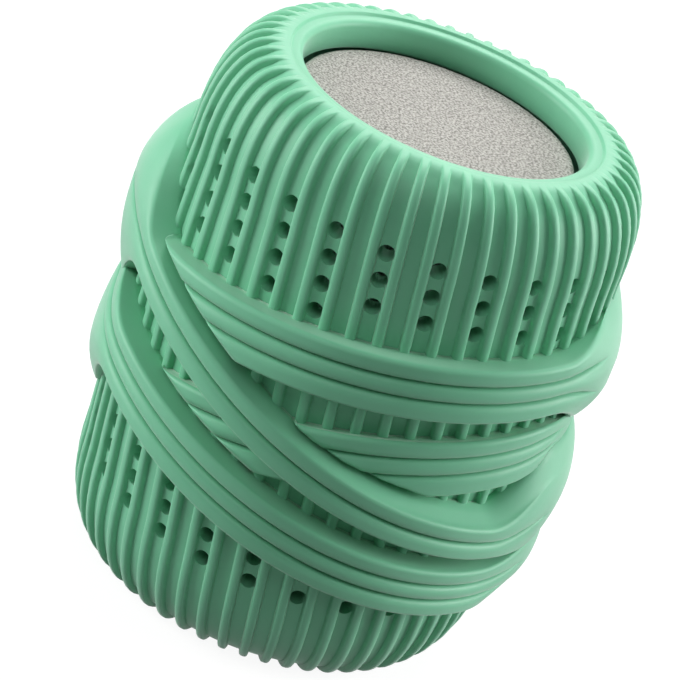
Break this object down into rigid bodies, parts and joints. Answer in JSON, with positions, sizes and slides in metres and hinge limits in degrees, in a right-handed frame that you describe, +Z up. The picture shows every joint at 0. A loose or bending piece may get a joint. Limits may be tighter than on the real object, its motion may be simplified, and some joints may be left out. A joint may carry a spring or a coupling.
{
  "type": "laundry ball",
  "caption": "Barrel-shaped soft rubber laundry ball with twisted ribs, wash holes and raised cord-like bands round its waist, and a foam core that pulls out of the top mouth.",
  "frame": {"origin": "middle of the face that the ball stands on", "axes": "+Z up along the barrel's axis, out of the top mouth; -Y is the side where the crossing band runs over the middle band, as in the picture; +X is to the right of that side"},
  "size_m": [0.0658, 0.0654, 0.072],
  "materials": {
    "shell_rubber": "satin",
    "band_rubber": "satin",
    "core_foam": "matte"
  },
  "bodies": {
    "shell": {"barrel_shell": "shell_rubber", "upper_band": "band_rubber", "crossing_band": "band_rubber", "lower_band": "band_rubber", "middle_band_right": "band_rubber", "middle_band_front": "band_rubber", "middle_band_back": "band_rubber"},
    "core": {"foam_core": "core_foam"}
  },
  "joints": [
    {"name": "core_pull", "type": "slide", "parent": "shell", "child": "core", "axis": [0, 0, 1], "range_m": [0, 0.075]}
  ]
}
